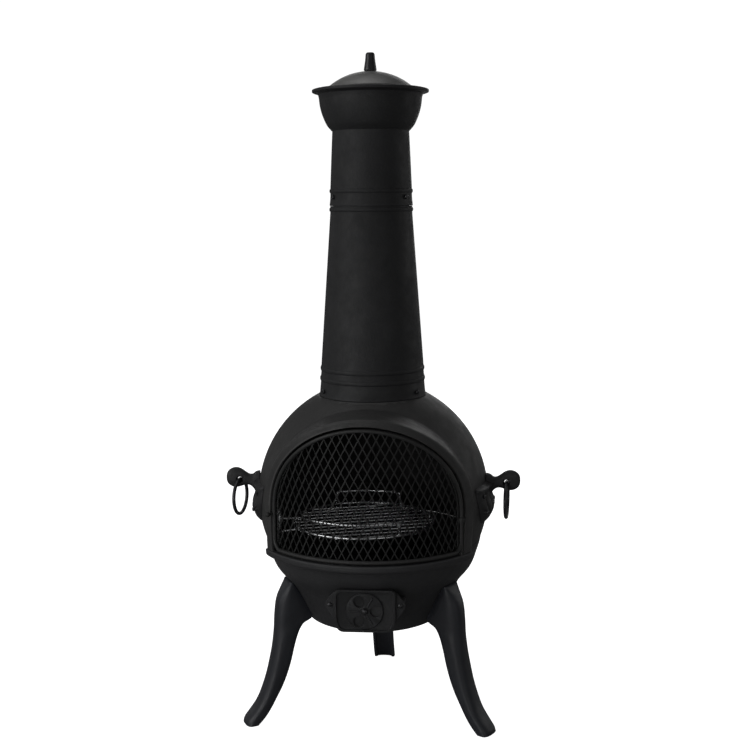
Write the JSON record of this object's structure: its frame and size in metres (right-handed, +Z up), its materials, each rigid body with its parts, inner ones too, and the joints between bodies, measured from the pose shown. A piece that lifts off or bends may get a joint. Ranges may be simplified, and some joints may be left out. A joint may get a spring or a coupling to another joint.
{
  "type": "chiminea",
  "caption": "Cast-iron chiminea on splayed legs: a round firebox with a mesh door, a swing-out grill, a rotary air vent, ring handles and a lidded chimney.",
  "frame": {"origin": "on the ground, at the middle of the bounding box in plan", "axes": "+Z up; the mouth, the door and the air vent face -Y"},
  "size_m": [0.5626, 0.4898, 1.25],
  "materials": {
    "body_iron": "matt high-temperature black over a fine cast grain",
    "black_paint": "satin black paint",
    "lid_iron": "smooth, lighter grey",
    "door_steel": "black painted steel wire and mesh",
    "grill_chrome": "bright plated wire",
    "fastener_steel": "dulled zinc plate"
  },
  "bodies": {
    "body": {"upper_body": "body_iron", "lower_bowl": "body_iron", "chimney_lower": "body_iron", "chimney_upper": "body_iron", "crown": "body_iron", "leg_front_right": "black_paint", "leg_front_left": "black_paint", "leg_rear": "black_paint", "door_hinge_eye": "door_steel", "grill_post": "fastener_steel", "grill_post_bracket_lower": "door_steel", "grill_post_bracket_upper": "door_steel", "fire_grate": "body_iron", "vent_frame": "body_iron", "handle_bracket_right": "body_iron", "handle_bracket_left": "body_iron", "body_bolt_right": "fastener_steel", "body_bolt_left": "fastener_steel", "body_bolt_rear": "fastener_steel", "body_nut_right": "fastener_steel", "body_nut_left": "fastener_steel", "body_nut_rear": "fastener_steel", "base_screw_right": "fastener_steel", "base_screw_left": "fastener_steel", "base_screw_rear": "fastener_steel", "joint_screw_right": "fastener_steel", "joint_screw_left": "fastener_steel", "joint_screw_rear": "fastener_steel", "leg_bolt_front_right": "fastener_steel", "leg_bolt_front_left": "fastener_steel", "leg_bolt_rear": "fastener_steel", "vent_rivet": "fastener_steel", "vent_screw_left": "fastener_steel", "vent_screw_right": "fastener_steel", "handle_screw_right_front_upper": "fastener_steel", "handle_screw_right_front_lower": "fastener_steel", "handle_screw_right_rear_upper": "fastener_steel", "handle_screw_right_rear_lower": "fastener_steel", "handle_screw_left_front_upper": "fastener_steel", "handle_screw_left_front_lower": "fastener_steel", "handle_screw_left_rear_upper": "fastener_steel", "handle_screw_left_rear_lower": "fastener_steel"},
    "lid": {"rain_lid": "lid_iron", "lid_knob": "black_paint", "lid_nut": "fastener_steel"},
    "door": {"door_frame": "door_steel", "door_mesh": "door_steel", "door_pull": "fastener_steel"},
    "grill": {"grill_ring": "grill_chrome", "grill_front_rail": "grill_chrome", "grill_back_rail": "grill_chrome", "grill_arm": "grill_chrome"},
    "damper": {"vent_damper": "body_iron"},
    "ring_right": {"handle_ring_right": "black_paint"},
    "ring_left": {"handle_ring_left": "black_paint"}
  },
  "joints": [
    {"name": "lid_lift", "type": "slide", "parent": "body", "child": "lid", "axis": [0, 0, 1], "range_m": [0, 0.1]},
    {"name": "door_swing", "type": "hinge", "parent": "body", "child": "door", "pos_m": [0.171, -0.15579, 0.42], "axis": [0, 0, 1], "range_deg": [0, 88]},
    {"name": "grill_swing", "type": "hinge", "parent": "body", "child": "grill", "pos_m": [-0.17, -0.1189, 0.38], "axis": [0, 0, -1], "range_deg": [0, 95.1]},
    {"name": "vent_spin", "type": "hinge", "parent": "body", "child": "damper", "pos_m": [0, -0.2167, 0.254], "axis": [0, -1, 0], "range_deg": [-60, 60]},
    {"name": "ring_right_swing", "type": "hinge", "parent": "body", "child": "ring_right", "pos_m": [0.2546, -0.04766, 0.4538], "axis": [-0.1045, -0.9945, 0], "range_deg": [-15, 85]},
    {"name": "ring_left_swing", "type": "hinge", "parent": "body", "child": "ring_left", "pos_m": [-0.2546, -0.04766, 0.4538], "axis": [0.0175, 0.9998, 0], "range_deg": [-15, 85]}
  ],
  "couplings": [
    {"joint": "grill_swing", "follows": "door_swing", "ratio": 1.08}
  ]
}
